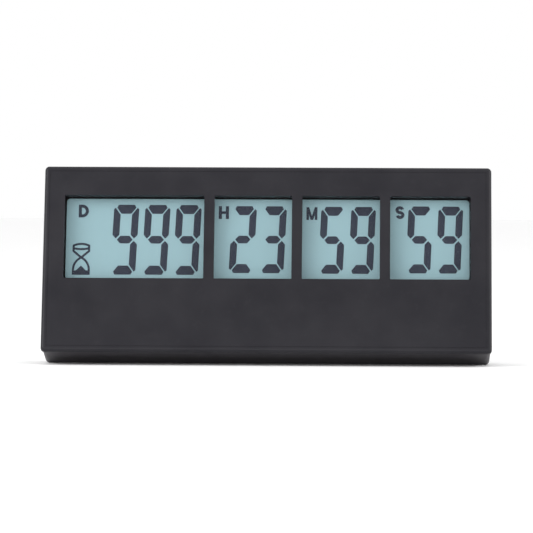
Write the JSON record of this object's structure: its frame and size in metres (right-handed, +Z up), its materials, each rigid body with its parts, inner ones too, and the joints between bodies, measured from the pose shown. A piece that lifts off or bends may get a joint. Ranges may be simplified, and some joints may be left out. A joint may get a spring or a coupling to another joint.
{
  "type": "countdown timer",
  "caption": "Free-standing wedge-shaped digital countdown timer with four display windows on a leaning face, keys and a round battery door on its back.",
  "frame": {"origin": "on the surface it stands on, under the middle of the whole object", "axes": "+X to the right of someone reading the display, +Y away from them, +Z up; the face leans back towards +Y"},
  "size_m": [0.116, 0.0228, 0.051],
  "materials": {
    "case_plastic": "satin black moulding, very fine texture",
    "back_plastic": "matt black moulding, fine spark texture",
    "clear_lens": "thin clear acrylic window",
    "black_foam": "thin black foam gasket with adhesive",
    "polarizer_film": "anti-glare polarizing film",
    "lcd_glass": "thin display glass",
    "lcd_background": "pale blue-green display background",
    "reflector_film": "silvery diffuse reflector film",
    "lcd_seal": "grey epoxy seal line",
    "lcd_segments": "dark purple-grey switched-on segments",
    "frame_plastic": "black moulded frame",
    "ribbon_film": "amber flexible ribbon",
    "zinc_screws": "zinc-plated small pan-head screws",
    "case_screws": "black zinc-plated screws",
    "board_green": "green solder mask on fibreglass",
    "chip_epoxy": "black epoxy blob",
    "tin_can": "tin-plated crystal can",
    "chip_ceramic": "tan ceramic chip parts",
    "switch_plastic": "black switch housings",
    "cell_steel": "nickel-plated coin cell",
    "contact_spring": "nickel-plated spring strip",
    "door_plastic": "matt black moulding",
    "sounder_brass": "thin brass sounder disc",
    "sounder_ceramic": "silvered ceramic disc",
    "red_wire": "red insulated wire",
    "black_wire": "black insulated wire",
    "key_rubber": "dark grey matt silicone keys",
    "plunger_plastic": "black switch plungers"
  },
  "bodies": {
    "case": {"front_shell": "case_plastic", "rear_shell": "back_plastic", "display_lens": "clear_lens", "display_gasket": "black_foam", "lcd_polarizer": "polarizer_film", "lcd_front_glass": "lcd_glass", "lcd_rear_glass": "lcd_background", "lcd_reflector": "reflector_film", "lcd_seal": "lcd_seal", "lcd_segments": "lcd_segments", "lcd_frame": "frame_plastic", "lcd_ribbon": "ribbon_film", "frame_screws": "zinc_screws", "board_screws": "zinc_screws", "case_screws": "case_screws", "circuit_board": "board_green", "chip_cap": "chip_epoxy", "crystal_can": "tin_can", "surface_parts": "chip_ceramic", "key_switches": "switch_plastic", "coin_cell": "cell_steel", "negative_contact": "contact_spring", "positive_contact": "contact_spring", "sounder_disc": "sounder_brass", "sounder_crystal": "sounder_ceramic", "battery_wire_positive": "red_wire", "battery_wire_negative": "black_wire", "sounder_wire_disc": "black_wire", "sounder_wire_crystal": "red_wire"},
    "day_button": {"day_key": "key_rubber", "day_plunger": "plunger_plastic"},
    "hour_button": {"hour_key": "key_rubber", "hour_plunger": "plunger_plastic"},
    "minute_button": {"minute_key": "key_rubber", "minute_plunger": "plunger_plastic"},
    "second_button": {"second_key": "key_rubber", "second_plunger": "plunger_plastic"},
    "start_stop_button": {"start_stop_key": "key_rubber", "start_stop_plunger": "plunger_plastic"},
    "clear_button": {"clear_key": "key_rubber", "clear_plunger": "plunger_plastic"},
    "battery_door": {"battery_door": "door_plastic"}
  },
  "joints": [
    {"name": "day_press", "type": "slide", "parent": "case", "child": "day_button", "axis": [0, -1, 0], "range_m": [0, 0.0005], "stiffness_N_per_m": 1500, "springref_m": -0.0003},
    {"name": "hour_press", "type": "slide", "parent": "case", "child": "hour_button", "axis": [0, -1, 0], "range_m": [0, 0.0005], "stiffness_N_per_m": 1500, "springref_m": -0.0003},
    {"name": "minute_press", "type": "slide", "parent": "case", "child": "minute_button", "axis": [0, -1, 0], "range_m": [0, 0.0005], "stiffness_N_per_m": 1500, "springref_m": -0.0003},
    {"name": "second_press", "type": "slide", "parent": "case", "child": "second_button", "axis": [0, -1, 0], "range_m": [0, 0.0005], "stiffness_N_per_m": 1500, "springref_m": -0.0003},
    {"name": "start_stop_press", "type": "slide", "parent": "case", "child": "start_stop_button", "axis": [0, -1, 0], "range_m": [0, 0.0005], "stiffness_N_per_m": 1500, "springref_m": -0.0003},
    {"name": "clear_press", "type": "slide", "parent": "case", "child": "clear_button", "axis": [0, -1, 0], "range_m": [0, 0.0005], "stiffness_N_per_m": 1500, "springref_m": -0.0003},
    {"name": "battery_door_turn", "type": "hinge", "parent": "case", "child": "battery_door", "pos_m": [-0.0375, 0.0108, 0.021], "axis": [0, 1, 0], "range_deg": [0, 50]}
  ]
}
